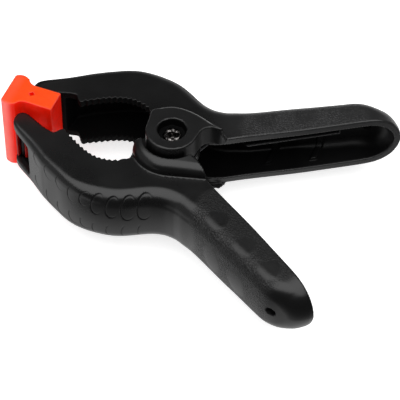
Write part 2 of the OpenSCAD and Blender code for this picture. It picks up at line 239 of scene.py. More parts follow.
class Along:
    """arc length along the back's curve, on a grid"""

    def __init__(self, curve, lo, hi, step):
        self.lo, self.step = np.array(lo, float), step
        self.n = np.ceil((np.array(hi) - self.lo) / step).astype(int) + 1
        gx, gy = np.meshgrid(self.lo[0] + step * np.arange(self.n[0]), self.lo[1] + step * np.arange(self.n[1]), indexing="ij")
        P = np.stack([gx.ravel(), gy.ravel()], 1)
        best = np.full(len(P), 1e9)
        arc_ = np.zeros(len(P))
        at = 0.0
        for a, b in zip(curve[:-1], curve[1:]):
            e = b - a
            L = e @ e
            if L < 1e-12:
                continue
            w = P - a
            k = np.clip((w @ e) / L, 0, 1)
            q = w - k[:, None] * e
            d = (q * q).sum(1)
            m = d < best
            best[m] = d[m]
            arc_[m] = at + k[m] * np.sqrt(L)
            at += np.sqrt(L)
        self.v = arc_.reshape(self.n)

    __call__ = Field2.__call__


F_ALONG = Along(OC, (-70, 4), (12, 42), 0.4)


def wrap(az, dB, R, W=12.9):
    """length round the section from the middle of the web, over the fillet, onto the cheek"""
    flat = W - R
    th = np.arctan2(np.maximum(az - flat, 0), np.maximum(R + dB, 1e-6))
    q = np.where(az < flat, az, flat + R * th)
    return np.where(dB < -R, flat + R * np.pi / 2 + (-dB - R), q)


def oval_line(t, q):
    """distance to the nearest outline of an oval, and how strong it is there"""
    best = np.full(len(t), 9.0)
    amt = np.zeros(len(t))
    for tc, qc, a, b in OVALS:
        near = (np.abs(t - tc) < a + 1.5) & (np.abs(q - qc) < b + 1.5)
        if not near.any():
            continue
        u, v = (t[near] - tc - 0.10 * (q[near] - qc)) / a, (q[near] - qc) / b
        r = np.maximum(np.hypot(u, v), 1e-3)
        g = np.hypot(u / a, v / b) / r
        d = np.abs(r - 1) / np.maximum(g, 1e-3)
        k = 0.5 + 0.5 * np.clip(-u / r * 1.4 + 0.3 * np.abs(v) / r, -1, 1)
        full = float(step(tc, 46, 60)) if qc > 0 else 0.0
        k = k * (0.5 + 0.5 * full) * (1 - (1 - full) * step(np.abs(v) / r, 0.35, 0.8) * np.where(v > 0, 1.0, 0.4))
        sub = best[near]
        w = d < sub
        sub[w] = d[w]
        best[near] = sub
        am = amt[near]
        am[w] = k[w]
        amt[near] = am
    return best, amt


def oval_groove(x, y, z, dB):
    """depth of the engraved outlines of the jaw's back"""
    out = np.zeros(len(x))
    m = (dB > -6.5) & (x < 4.0) & (x > -62) & (y > 9.0)
    if m.any():
        xx, yy, zz = x[m], y[m], z[m]
        q = wrap(np.abs(zz), dB[m], fillet_r(xx, np.zeros(len(xx)))) * np.where(zz < 0, 1.0, -1.0)
        d, k = oval_line(F_ALONG(xx, yy), q)
        out[m] = 0.30 * k * np.exp(-(d / 0.25) ** 2)
    return out


def arm(P, far=0.0):
    """signed distance of an arm without its ears, drawn as the upper one; returns also its parts"""
    x, y, z = P[:, 0], P[:, 1], P[:, 2]
    az = np.abs(z)
    s, h = sh(x, y)
    g = step(s, 22.0, 56.0)
    dB = F_BACK(x, y) - PR["back"] * g - PR["jaw"] * (1 - g)
    dR = F_RIM(x, y) - PR["rim"] * g
    dW = az - (W0 + (W1 - W0) * step(x, -46, -35)) - PR["dw"] * g
    dP = np.where(s > 60, F_PLAN(np.maximum(s - (PR["end"] + far) * step(s, 74, 90), 50), az * 12.9 / (12.9 + PR["dw"])), dW)
    R = fillet_r(x, s)
    dB = dB - (PR["end"] + far) * step(s, 82, 91) - 0.5 * far * step(s, 68, 80)
    outer = rint(dB - crown(az) * step(x, -42, -20) * (1 - step(s, 78, 86)), dP, R)
    ri = np.where(x < 5, 1.2, 1.2 + 2.0 * step(s, 52, 64))
    inner = rint(dB + WALL, dP + WALL, ri)
    return x, y, z, az, s, h, dB, dR, dP, outer, inner


def outline(points, k=5, closed=True):
    """smooth closed outline through given points"""
    P = np.array(points, float)
    n = len(P)
    out = []
    for i in range(n):
        a, b, c, d = P[(i - 1) % n], P[i], P[(i + 1) % n], P[(i + 2) % n]
        for j in range(k):
            t = j / k
            out.append(0.5 * (2 * b + (c - a) * t + (2 * a - 5 * b + 4 * c - d) * t * t + (3 * b - a - 3 * c + d) * t ** 3))
    return np.array(out)


def arc(r, a0, a1, n, c=(0, 0)):
    t = np.radians(np.linspace(a0, a1, n))
    return np.stack([c[0] + r * np.cos(t), c[1] + r * np.sin(t)], 1)


def closed_field(poly, step=0.25, pad=6):
    lo, hi = poly.min(0) - pad, poly.max(0) + pad
    return Field2(lo, hi, step, np.vstack([poly, poly[:1]]), poly)


# ear of the upper arm: its top outline, and the wider one where it meets the cheek
EAR_TOP = np.vstack([arc(10.3, -4, -178, 60), catmull([(-10.45, 1.2), (-10.95, 4.2), (-11.15, 6.1), (-10.5, 7.6), (-8.8, 9.1), (-5.6, 11.1), (-2.6, 12.0), (0.4, 12.15), (3.4, 11.85), (7.1, 11.0), (12.0, 9.35), (15.9, 8.3), (18.6, 7.75), (19.6, 7.3), (18.6, 7.15), (14.6, 7.1), (12.6, 6.2), (11.0, 4.4), (10.4, 1.6)], 5)])
EAR_BASE = np.vstack([arc(10.3, -4, -178, 60), catmull([(-10.6, 1.2), (-12.0, 4.2), (-13.2, 7.1), (-12.6, 9.8), (-10.0, 12.4), (-5.6, 14.2), (-2.0, 14.8), (2.4, 14.9), (7.0, 14.6), (12.0, 13.8), (15.8, 12.8), (18.0, 11.4), (18.8, 9.8), (18.5, 8.4), (17.0, 7.4), (14.6, 7.1), (12.6, 6.2), (11.0, 4.4), (10.4, 1.6)], 5)])
F_ETOP = closed_field(EAR_TOP)
F_EBASE = closed_field(EAR_BASE)


def ear(P):
    """raised boss of the upper arm on both cheeks"""
    x, y, az = P[:, 0], P[:, 1], np.abs(P[:, 2])
    r = np.hypot(x, y)
    t = np.clip((22.1 - az) / 9.2, 0, 1.15)
    d = F_ETOP(x, y) * (1 - t) + F_EBASE(x, y) * t
    edge = (0.55 + 0.85 * step(y, 7.3, 9.0)) * (1 - 0.5 * np.exp(-((x - 14.0) ** 2) / 16.0 - ((y - 5.5) ** 2) / 5.0))
    d = rint(d, az - 22.1, edge)
    # on the side it lies on, the tail is only a low foot
    foot = np.maximum((az - 13.9 - 1.25 * np.maximum(12.5 - x, 0)) * 0.6, (x - 16.5 - 0.405 * (y - 6.4)) * 0.927)
    d = np.maximum(d, np.where(P[:, 2] < 0, foot, -9.0))
    return np.maximum(d, 12.6 - az)


def ear_cuts(P):
    """recess for the rivet, room for the inner ear, coring; negative where material goes"""
    x, y, az = P[:, 0], P[:, 1], np.abs(P[:, 2])
    r = np.hypot(x, y)
    room = np.maximum(r - 11.2, az - 12.7)
    core = np.maximum(np.abs(r - 6.3) - 1.9, az - 15.9)
    bore = r - 2.56
    return np.minimum(np.minimum(room, core), bore)


# collar of the lower arm, drawn in the lower arm's own place
COLLAR = np.vstack([arc(15.9, -86, -250, 60), [[0, 6]], [[22, -2]], catmull([(23.5, -9.9), (20.0, -10.95), (14.0, -12.6), (9.0, -14.0), (5.0, -15.1), (2.6, -15.68)], 5)])
F_COL = closed_field(COLLAR)
CUT = np.array([(-13.1, -6.2), (-11.2, -5.0), (-8, -4.0), (0, -2.6), (4.0, -4.2), (8.6, -5.4), (10.6, -5.9), (13.3, -6.8), (19.3, -11.2), (24, -14.5), (24, -40), (-13.1, -40)], float)
F_CUT = closed_field(CUT)


def collar(P):
    """collar and inner ear of the lower arm, in the lower arm's own place"""
    x, y, az = P[:, 0], P[:, 1], np.abs(P[:, 2])
    r = np.hypot(x, y)
    col = rint(F_COL(x, y), az - 18.2 + 0.12 * np.maximum(r - 11.4, 0), 4.1)
    col = rint(col, F_CUT(x, y), 0.45)
    col = np.maximum(col, 9.9 - az)
    seat = np.maximum(r - 11.4, 12.4 - az)
    col = rsub(col, seat, 0.35)
    disc = np.maximum(np.maximum(r - 11.0, az - 12.4), 9.4 - az)
    web = np.maximum(np.maximum(np.maximum(-13.1 - x, x), np.maximum(y - 3.2 - (x + 10.4) * 2.2, -13.8 - y)), np.maximum(az - 12.4, 9.4 - az))
    spool = np.maximum(r - 4.5, np.maximum(4.6 - az, az - 9.8))
    d = np.minimum(np.minimum(col, disc), np.minimum(web, spool))
    return np.maximum(d, 2.5 - r)


def ledges(P, s, h, z, outer, inner):
    """guide beside the spring's leg, on the cheek at z > 0, and the hoop ribs, square to the mould's pull"""
    top = 0.7 + 5.0 * (1 - step(s, 26.0, 30.5))
    led = rint(rint(top - h, 5.7 - z, 0.5), np.maximum(s - 67.6, 26.4 - s), 0.4)
    led = np.maximum(led, z - 11.5)
    # slot for the spring's leg between the guide's lip and the cheek
    led = np.maximum(led, -np.maximum(np.maximum(6.35 - z, z - 9.7), np.maximum(h - 3.0, np.maximum(s - 66.8, 27.2 - s))))
    ribs = np.full(len(s), 1e3)
    for a, b in ((31.4, 3.8), (47.25, 2.6)):
        ribs = np.minimum(ribs, rint(rint(np.abs(P[:, 0] - a) - 1.15, -inner - 1.25, 0.45), b - h, 0.4))
    return led, ribs


def base_arm(P, far=0.0):
    x, y, z, az, s, h, dB, dR, dP, outer, inner = arm(P, far)
    rimd = dR + np.where((x > -42.4) & (x < -14.6), notch(x), 0)
    d = rint(outer, rimd, np.where(x < -42, 0.45, np.where(x < -14, 0.22, 0.7)))
    d = d + oval_groove(x, y, z, dB)
    # the channel
    d = rsub(d, rint(inner, -50.3 - x + 0.09 * (y - 10.1), 0.8), 0.35)
    led, ribs = ledges(P, s, h, z, outer, inner)
    led = np.maximum(led, outer + 0.6)
    ribs = np.maximum(ribs, outer + 0.6)
    d = runi(d, np.minimum(led, ribs), 0.35)
    # fork slot
    slot = rint(az - 8.4, x + 53.6, 1.2)
    d = rsub(d, slot, 0.5)
    # blind bores for the pad pin
    pr = np.hypot(x + 60.3, y - 8.9)
    d = np.maximum(d, -np.maximum(pr - 1.56, az - 11.4))
    # hanging hole through the web
    hole = np.where(h > 1.5, np.hypot(s - 80.0, z) - 1.75, 5.0)
    d = rsub(d, hole, 0.35)
    return d


def upper_arm(P):
    x, y, az = P[:, 0], P[:, 1], np.abs(P[:, 2])
    d = runi(base_arm(P, 0.8), ear(P), 0.5 + 2.3 * step(y, 6.0, 11.0) * (1 - step(x, 12.5, 17.0)))
    d = np.maximum(d, -ear_cuts(P))
    r = np.hypot(x, y)
    rec = np.maximum(r - 5.65, 18.2 - az)
    return rsub(d, rec, 0.3)


def lower_arm(P):
    """the lower arm in its own place: the upper one's profile, turned over about the pivot's foot"""
    M = P * np.array([1, -1, -1])
    d = base_arm(M)
    c = collar(P)
    return runi(d, c, 0.5)


# --------------------------------------------------------- meshing
def refine(V, Q, pick, k):
    """splits the picked quads k by k; a neighbour takes the new points on its edge"""
    n0 = len(V)
    S = Q[pick]
    E = np.vstack([S[:, [i, (i + 1) % 4]] for i in range(4)])
    key = np.sort(E, 1)
    uk, inv = np.unique(key[:, 0] * n0 + key[:, 1], return_inverse=True)
    ea, eb = uk // n0, uk % n0
    f = (np.arange(1, k) / k)
    EV = V[ea][:, None] * (1 - f)[None, :, None] + V[eb][:, None] * f[None, :, None]
    m = len(S)
    eid = inv.reshape(4, m).T
    base_e = n0
    base_i = n0 + len(uk) * (k - 1)
    a, b, c, d = (V[S[:, i]] for i in range(4))
    uu, vv = np.meshgrid(f, f, indexing="ij")
    uu, vv = uu.ravel(), vv.ravel()
    IV = a[:, None] * ((1 - uu) * (1 - vv))[None, :, None] + b[:, None] * (uu * (1 - vv))[None, :, None] + c[:, None] * (uu * vv)[None, :, None] + d[:, None] * ((1 - uu) * vv)[None, :, None]
    G = np.zeros((m, k + 1, k + 1), np.int64)
    G[:, 0, 0], G[:, k, 0], G[:, k, k], G[:, 0, k] = S[:, 0], S[:, 1], S[:, 2], S[:, 3]

    def line(i, p, q):
        """new points of edge i of every picked quad, running from corner p to corner q"""
        ids = base_e + eid[:, i][:, None] * (k - 1) + np.arange(k - 1)[None, :]
        rev = S[:, p] > S[:, q]
        ids[rev] = ids[rev][:, ::-1]
        return ids

    G[:, 1:k, 0] = line(0, 0, 1)
    G[:, k, 1:k] = line(1, 1, 2)
    G[:, 1:k, k] = line(2, 2, 3)[:, ::-1]
    G[:, 0, 1:k] = line(3, 3, 0)[:, ::-1]
    G[:, 1:k, 1:k] = (base_i + np.arange(m)[:, None] * (k - 1) ** 2 + np.arange((k - 1) ** 2)[None, :]).reshape(m, k - 1, k - 1)
    F4 = np.stack([G[:, :-1, :-1], G[:, 1:, :-1], G[:, 1:, 1:], G[:, :-1, 1:]], -1).reshape(-1, 4)
    VV = np.vstack([V, EV.reshape(-1, 3), IV.reshape(-1, 3)])
    # the quads that stay
    R = Q[~pick]
    RE = np.stack([np.minimum(R, np.roll(R, -1, 1)) * n0 + np.maximum(R, np.roll(R, -1, 1)) for _ in (0,)], 0)[0]
    pos = np.clip(np.searchsorted(uk, RE), 0, len(uk) - 1)
    hit = uk[pos] == RE
    plain = ~hit.any(1)
    keep = np.vstack([F4, R[plain]])
    odd = []
    for row, h_, p_ in zip(R[~plain], hit[~plain], pos[~plain]):
        poly = []
        for i in range(4):
            poly.append(int(row[i]))
            if h_[i]:
                ids = [int(base_e + p_[i] * (k - 1) + j) for j in range(k - 1)]
                if row[i] > row[(i + 1) % 4]:
                    ids = ids[::-1]
                poly.extend(ids)
        odd.append(poly)
    return VV, keep, odd


def polygonize(f, lo, hi, cell, band=4):
    """surface nets of f < 0 in a box; f is only read near the surface"""
    lo, hi = np.array(lo, float), np.array(hi, float)
    C = cell * band
    nc = np.ceil((hi - lo) / C).astype(int)
    g = np.stack(np.meshgrid(*[lo[i] + C * (np.arange(nc[i]) + 0.5) for i in range(3)], indexing="ij"), -1).reshape(-1, 3)
    v = f(g)
    near = (np.abs(v) < C * 0.87 * 1.25 + 0.5).reshape(nc)
    sign = (v > 0).reshape(nc)
    n = nc * band + 1
    F = np.where(np.repeat(np.repeat(np.repeat(sign, band, 0), band, 1), band, 2), 9.0, -9.0).astype(np.float32)
    F = np.pad(F, ((0, 1), (0, 1), (0, 1)), mode="edge")
    m = np.repeat(np.repeat(np.repeat(near, band, 0), band, 1), band, 2)
    m = np.pad(m, ((0, 1), (0, 1), (0, 1)), mode="edge")
    mm = m.copy()
    for ax in range(3):
        sl = [slice(None)] * 3
        sr = [slice(None)] * 3
        sl[ax], sr[ax] = slice(1, None), slice(None, -1)
        mm[tuple(sl)] |= m[tuple(sr)]
        m = mm.copy()
    idx = np.argwhere(mm)
    pts = lo + idx * cell
    vals = np.empty(len(pts), np.float32)
    for a in range(0, len(pts), 400000):
        vals[a:a + 400000] = f(pts[a:a + 400000])
    F[mm] = vals
    S = F < 0
    # cells with a sign change
    c = np.zeros(np.array(S.shape) - 1, np.int8)
    for i in (0, 1):
        for j in (0, 1):
            for k in (0, 1):
                c += S[i:S.shape[0] - 1 + i, j:S.shape[1] - 1 + j, k:S.shape[2] - 1 + k]
    act = (c > 0) & (c < 8)
    ids = np.full(act.shape, -1, np.int64)
    cells = np.argwhere(act)
    ids[act] = np.arange(len(cells))
    acc = np.zeros((len(cells), 3))
    cnt = np.zeros(len(cells))
    ci = cells
    for ax in range(3):
        o = [a for a in range(3) if a != ax]
        for p in (0, 1):
            for q in (0, 1):
                off = np.zeros(3, int)
                off[o[0]], off[o[1]] = p, q
                a = ci + off
                b = a.copy()
                b[:, ax] += 1
                va = F[a[:, 0], a[:, 1], a[:, 2]]
                vb = F[b[:, 0], b[:, 1], b[:, 2]]
                hit = (va < 0) != (vb < 0)
                t = np.where(hit, va / np.where(hit, va - vb, 1), 0)
                pt = a.astype(float)
                pt[:, ax] += t
                acc += np.where(hit[:, None], pt, 0)
                cnt += hit
    V = lo + (acc / cnt[:, None]) * cell
    quads = []
    for ax in range(3):
        o = [(ax + 1) % 3, (ax + 2) % 3]
        sl0 = [slice(1, -1)] * 3
        sl1 = [slice(1, -1)] * 3
        sl0[ax] = slice(0, S.shape[ax] - 1)
        sl1[ax] = slice(1, S.shape[ax])
        s0, s1 = S[tuple(sl0)], S[tuple(sl1)]
        e = np.argwhere(s0 != s1)
        base = e.copy()
        for k in o:
            base[:, k] += 1
        flip = s0[e[:, 0], e[:, 1], e[:, 2]]
        u, w = np.zeros(3, int), np.zeros(3, int)
        u[o[0]], w[o[1]] = 1, 1
        q = [base - u - w, base - w, base, base - u]
        q = np.stack([ids[t[:, 0], t[:, 1], t[:, 2]] for t in q], 1)
        q[~flip] = q[~flip][:, ::-1]
        quads.append(q)
    Q = np.vstack(quads)
    Q = Q[(Q >= 0).all(1)]
    return V, Q


def grad(f, P, e=0.03):
    g = np.empty_like(P)
    for i in range(3):
        d = np.zeros(3)
        d[i] = e
        g[:, i] = (f(P + d) - f(P - d)) / (2 * e)
    return g


def project(f, V, cell, rounds=3):
    V = V.copy()
    V0 = V.copy()
    for _ in range(rounds):
        v = f(V)
        g = grad(f, V)
        n2 = np.maximum((g * g).sum(1), 0.15)
        s = -(v / n2)[:, None] * g
        L = np.linalg.norm(s, axis=1)
        s *= np.minimum(1, cell * 0.5 / np.maximum(L, 1e-9))[:, None]
        V += s
    move = V - V0
    L = np.linalg.norm(move, axis=1)
    V = V0 + move * np.minimum(1, cell * 0.8 / np.maximum(L, 1e-9))[:, None]
    return V


def relax(V, Q, f, cell, rounds=2, amount=0.5):
    """slides the vertices along the surface towards the middle of their neighbours"""
    E = np.vstack([Q[:, [0, 1]], Q[:, [1, 2]], Q[:, [2, 3]], Q[:, [3, 0]]])
    for _ in range(rounds):
        acc = np.zeros_like(V)
        cnt = np.zeros(len(V))
        np.add.at(acc, E[:, 0], V[E[:, 1]])
        np.add.at(acc, E[:, 1], V[E[:, 0]])
        np.add.at(cnt, E[:, 0], 1)
        np.add.at(cnt, E[:, 1], 1)
        m = acc / cnt[:, None] - V
        g = grad(f, V)
        g /= np.maximum(np.linalg.norm(g, axis=1), 1e-6)[:, None]
        m -= (m * g).sum(1)[:, None] * g
        V = V + amount * m
        V = project(f, V, cell, 1)
    return V


# ------------------------------------------------------------ Blender objects
ORIGIN = np.array([-3.6, 0.0, 22.1])


def to_row(V):
    return (np.asarray(V, float) + ORIGIN) * 0.001


def largest(V, Q):
    """keeps the biggest connected piece of a mesh"""
    lab = np.arange(len(V))
    E = np.vstack([Q[:, [i, (i + 1) % Q.shape[1]]] for i in range(Q.shape[1])])
    while True:
        m = np.minimum(lab[E[:, 0]], lab[E[:, 1]])
        new = lab.copy()
        np.minimum.at(new, E[:, 0], m)
        np.minimum.at(new, E[:, 1], m)
        new = new[new]
        new = new[new]
        if (new == lab).all():
            break
        lab = new
    u, c = np.unique(lab, return_counts=True)
    keep = lab == u[c.argmax()]
    idx = np.cumsum(keep) - 1
    return V[keep], idx[Q[keep[Q[:, 0]]]]


def mesh_object(name, V, faces, normals=None, attrs=None, smooth=True, odd=()):
    """a mesh object from vertices in millimetres, an array of equal-sized faces and some odd ones"""
    me = bpy.data.meshes.new(name)
    faces = np.asarray(faces, np.int32)
    k = faces.shape[1]
    start = np.arange(len(faces), dtype=np.int32) * k
    loops = faces.ravel()
    if len(odd):
        n = np.array([len(p) for p in odd], np.int32)
        start = np.concatenate([start, loops.size + np.concatenate([[0], np.cumsum(n)[:-1]]).astype(np.int32)])
        loops = np.concatenate([loops, np.array([i for p in odd for i in p], np.int32)])
    me.vertices.add(len(V))
    me.vertices.foreach_set("co", to_row(V).astype(np.float32).ravel())
    me.loops.add(loops.size)
    me.loops.foreach_set("vertex_index", loops)
    me.polygons.add(len(start))
    me.polygons.foreach_set("loop_start", start)
    me.update(calc_edges=True)
    me.validate()
    me.polygons.foreach_set("use_smooth", np.full(len(me.polygons), smooth))
    for key, val in (attrs or {}).items():
        a = me.attributes.new(key, "FLOAT", "POINT")
        a.data.foreach_set("value", np.asarray(val, np.float32))
    if normals is not None:
        me.normals_split_custom_set_from_vertices([tuple(n) for n in normals])
    o = bpy.data.objects.new(name, me)
    bpy.context.scene.collection.objects.link(o)
    return o


def field_object(name, f, lo, hi, cell, attrs=None, detail=None, k=3):
    V, Q = polygonize(f, lo, hi, cell)
    V, Q = largest(V, Q)
    V = project(f, V, cell)
    odd = ()
    if detail is not None:
        pick = detail(V[Q].mean(1))
        V, Q, odd = refine(V, Q, pick, k)
        V = project(f, V, cell * 0.5, 2)
    N = grad(f, V, 0.04)
    N /= np.maximum(np.linalg.norm(N, axis=1), 1e-6)[:, None]
    return mesh_object(name, V, Q, N, attrs(V) if attrs else None, odd=odd)




# ------------------------------------------------------------ pads
PAD_OUT = np.vstack([
    [(-70.4, -3.0), (-70.4, 6.6)],
    catmull([(-70.35, 6.75), (-69.9, 7.15), (-69.1, 7.7), (-68.1, 8.1), (-66.9, 8.2), (-65.7, 7.95), (-64.6, 7.3)], 4),
    arc(4.2, 203, 268, 16, (-60.3, 8.9)),
    [(-60.2, 4.72), (-49.35, 4.8), (-49.35, -3.0)]])
F_PAD = closed_field(PAD_OUT, 0.2, 4)
GROOVE = np.array([(-61.25, -1.0), (-61.1, 0.0), (-59.9, 1.2), (-58.7, 0.0), (-58.55, -1.0)])
F_GROOVE = closed_field(GROOVE, 0.15, 3)


def pad(P):
    """a jaw pad, drawn as the upper one"""
    x, y, z = P[:, 0], P[:, 1], P[:, 2]
    az = np.abs(z)
    # plan: round corners, larger at the tip
    dz = az - 17.93
    tip = rint(dz, -70.4 - x, 0.9)
    plan = np.where(x < -62, tip, rint(dz, x + 49.35, 0.8))
    d = rint(F_PAD(x, y), plan, 0.55)
    d = np.maximum(d, -F_GROOVE(x, y))
    lug = np.maximum(np.minimum(np.hypot(x + 60.3, y - 8.9) - 3.1, np.maximum(np.abs(x + 60.3) - 3.1, np.maximum(y - 8.9, 3.7 - y))), az - 8.0)
    d = runi(d, lug, 0.3)
    # the lug is a clip, open at the back, round the pin
    d = np.maximum(d, -np.maximum(np.abs(x + 60.3) - 1.35, 8.9 - y))
    return np.maximum(d, 1.5 - np.hypot(x + 60.3, y - 8.9))


def pad_object(name, side):
    """the pad is meshed a little past its face and then cut off flat there"""
    V, Q = polygonize(pad, (-72, -2.4, -19.2), (-47.6, 13.5, 19.2), 0.48)
    V, Q = largest(V, Q)
    V = project(pad, V, 0.48)
    if side < 0:
        V = V * np.array([1, -1, 1])
        Q = Q[:, ::-1]
    n = grad(pad, V * np.array([1, side, 1]), 0.05)
    lit_top, tip = step(n[:, 2], 0.25, 0.8), step(-V[:, 0], 64.6, 68.2)
    # painted light on one scale: 0 painted shade inside the fork, 0.2 red sides, 0.5 a painted highlight on the paler
    # ends and edges, 1 the lit top
    painted_light_hue = 0.2 + 0.3 * tip
    # painted shade on the lug inside the fork
    painted_light_hue = painted_light_hue * (1 - 0.85 * (np.abs(V[:, 2]) < 8.3) * step(side * V[:, 1], 8.0, 9.5))
    painted_light_hue = painted_light_hue + (1 - painted_light_hue) * lit_top
    o = mesh_object(name, V, Q, attrs={"painted_light_hue": painted_light_hue, "tip": tip})
    bm = bmesh.new()
    bm.from_mesh(o.data)
    face = to_row(np.array([0, 0.025 * side, 0]))
    cut = bmesh.ops.bisect_plane(bm, geom=bm.verts[:] + bm.edges[:] + bm.faces[:], dist=1e-7, plane_co=tuple(face), plane_no=(0, side, 0), clear_inner=True)
    rim = [e for e in cut["geom_cut"] if isinstance(e, bmesh.types.BMEdge)]
    new = bmesh.ops.triangle_fill(bm, use_beauty=True, use_dissolve=False, edges=rim, normal=(0, -side, 0))
    for f in new["geom"]:
        if isinstance(f, bmesh.types.BMFace):
            f.smooth = False
    for e in rim:
        e.smooth = False
    bmesh.ops.recalc_face_normals(bm, faces=bm.faces[:])
    bm.to_mesh(o.data)
    bm.free()
    return o


# ------------------------------------------------------------ grain zones, painted shade and painted light
def arm_attrs(V, ovals, upper):
    """where the leather grain lies, on vertices of an arm drawn as the upper one: on the handle, but
    for smooth ovals on both fillets, at the given places, and on the web between them"""
    x, y, z = V[:, 0], V[:, 1], V[:, 2]
    az = np.abs(z)
    s, h = sh(x, y)
    a = arm(V)
    dB, outer = a[6], a[9]
    q = wrap(az, dB, fillet_r(x, s))
    s0 = 28.2 + 5.5 * np.clip((21 - q) / 12, 0, 1)
    g = step(s, s0 - 2.2, s0 + 2.4) * (1 - step(s, 75.5, 81.0))

    def patch(sc, qc, hs, hq):
        u, v = (s - sc) / hs, (q - qc) / hq
        return 1 - step(np.hypot(u, v), 0.66, 1.24)

    for c in ovals:
        g = g * (1 - (0.5 if upper else 0.92) * patch(c, 17.0, 4.8, 5.2))
    for c in (32.7, 47.1, 61.6):
        g = g * (1 - patch(c, 0.0, 4.9, 6.8))
    g = g * step(h, -0.7, -0.1) * (0.7 if upper else 1.0)
    g = g * (outer > -0.8)
    # painted shade: the channel, the throat's edge, the rivet's seat and the holes get almost no gloss and a darker
    # colour, where shade falls
    dR = a[7]
    painted_shade = step(-outer, 2.0, 2.8) * step(-dR, 0.3, 0.9)
    painted_shade = np.maximum(painted_shade, step(-outer, 0.03, 0.15) * (dR > -1.3) * (1 - step(x, -14.5, -12.5)))
    painted_shade = np.maximum(painted_shade, (np.hypot(x, y) < 6.2) * step(22.0 - az, 0.1, 0.5) * (az > 17.5))
    painted_shade = np.maximum(painted_shade, 1.0 * (np.hypot(s - 80.0, z) < 2.0))
    # the painted shade is eased towards the handle's end of the hollow and on the lip of the spring's guide, so these
    # keep a little gloss
    painted_shade = painted_shade * (1 - 0.4 * step(s, 50, 56) * (1 - step(s, 76, 82)))
    painted_shade = np.where((z > 5.3) & (z < 6.4) & (h > 0.4) & (h < 1.6) & (s > 26.6) & (s < 68), 0.15, painted_shade)
    # painted light: the ends and the ears get a lighter base colour than the middle, for the brighter light they catch
    if upper:
        painted_light_tone = 0.2 * step(-x, 42, 56) + 1.0 * step(s, 12, 28) + 0.35 * step(az, 18.5, 21.0)
        # painted shade: the walls of the ear's neck, the foot's walls on the lower side and the back of the jaw lose
        # gloss
        neck = (az > 13.2) & (az < 22.02) & (x > 7.0) & (y > -7.5) & (y < 7.7)
        painted_shade = np.where(neck, np.maximum(painted_shade, 0.5 * step(x, 7.0, 9.0)), painted_shade)
        painted_shade = np.where((z < -11.6) & (x > 11.0) & (x < 20.0) & (dR > 0.12), np.maximum(painted_shade, 0.6), painted_shade)
        painted_shade = np.maximum(painted_shade, 0.75 * (1 - step(x, -2, 6)) * (outer > -0.6) * step(dB, -3.2, -1.6) * (az < 12.7))
    else:
        painted_light_tone = 0.3 * step(-x, 24, 44)
        # painted shade: the grain on the lower handle's cheeks loses gloss and darkens
        painted_shade = np.maximum(painted_shade, 0.38 * g * step(-dB, 5.0, 8.0))
    # no painted light where shade is painted
    painted_light_tone = painted_light_tone * (1 - step(painted_shade, 0.2, 0.6))
    # painted shade sits in the engraved outlines
    m = (dB > -6.5) & (x < 4.0) & (x > -62) & (y > 9.0) & (outer > -0.6)
    qs = q[m] * np.where(z[m] < 0, 1.0, -1.0)
    dist, k = oval_line(F_ALONG(x[m], y[m]), qs)
    painted_shade[m] = np.maximum(painted_shade[m], np.clip(1.1 * k, 0, 0.85) * np.exp(-(dist / 0.34) ** 2))
    return {"grain": g, "painted_shade": painted_shade, "painted_light_tone": painted_light_tone}


def arm_detail(V):
    """faces that need a finer mesh: the engraved ovals and the teeth"""
    x, y, z = V[:, 0], V[:, 1], V[:, 2]
    a = arm(V)
    dB, dR, outer = a[6], a[7], a[9]
    m = (dB > -6.5) & (x < 4.0) & (x > -62) & (y > 9.0) & (outer > -1.0)
    q = wrap(np.abs(z), dB, fillet_r(x, np.zeros(len(x)))) * np.where(z < 0, 1.0, -1.0)
    line = np.full(len(x), 9.0)
    line[m] = oval_line(F_ALONG(x[m], y[m]), q[m])[0]
    teeth = (np.abs(dR + 0.4) < 1.3) & (x > -42.8) & (x < -14.2) & (np.abs(z) > 9.0)
    return (line < 0.62) | teeth


# ------------------------------------------------------------ turned and wound pieces
def lathe(name, profile, n=96):
    """turns an open profile of (radius, height) points, closed on itself"""
    P = np.array(profile, float)
    k = len(P)
    t = np.linspace(0, 2 * np.pi, n, endpoint=False)
    V = np.stack([P[None, :, 0] * np.cos(t)[:, None], P[None, :, 0] * np.sin(t)[:, None], np.repeat(P[None, :, 1], n, 0)], -1).reshape(-1, 3)
    i, j = np.meshgrid(np.arange(n), np.arange(k), indexing="ij")
    i, j = i.ravel(), j.ravel()
    a = i * k + j
    b_ = ((i + 1) % n) * k + j
    c = ((i + 1) % n) * k + (j + 1) % k
    d = i * k + (j + 1) % k
    return mesh_object(name, V, np.stack([a, b_, c, d], 1))


def fine(points, r, n=4):
    """a closed profile with its corners rounded"""
    P = np.array(points, float)
    out = []
    m = len(P)
    for i in range(m):
        a, b_, c = P[i - 1], P[i], P[(i + 1) % m]
        u_, v_ = (a - b_), (c - b_)
        lu, lv = np.linalg.norm(u_), np.linalg.norm(v_)
        q = min(r, 0.45 * lu, 0.45 * lv)
        p0, p1 = b_ + u_ / lu * q, b_ + v_ / lv * q
        for t in np.linspace(0, 1, n):
            out.append((1 - t) ** 2 * p0 + 2 * t * (1 - t) * b_ + t * t * p1)
    return np.array(out)


def rivet_object():
    f = 18.2
    prof = [(1.5, f - 2.0), (1.5, f + 0.75), (1.9, f + 1.15), (2.5, f + 1.35), (3.2, f + 1.2), (3.6, f + 0.85), (3.6, f + 0.15), (2.5, f + 0.15),
            (2.5, -f - 0.95), (3.0, -f - 0.95), (3.45, -f - 1.15), (3.5, -f - 1.5), (3.0, -f - 1.75), (2.2, -f - 1.7), (1.5, -f - 1.3), (1.5, -14.0), (1.5, -13.9), (0.02, -13.6), (0.02, f - 2.3), (1.5, f - 2.02)]
    return lathe("pivot_rivet_turned", fine(prof, 0.22))


def washer_object():
    f = 18.2
    prof = [(2.56, -f - 0.15), (4.8, -f - 0.15), (4.8, -f - 0.95), (2.56, -f - 0.95)]
    return lathe("rivet_washer_turned", fine(prof, 0.2)[::-1])


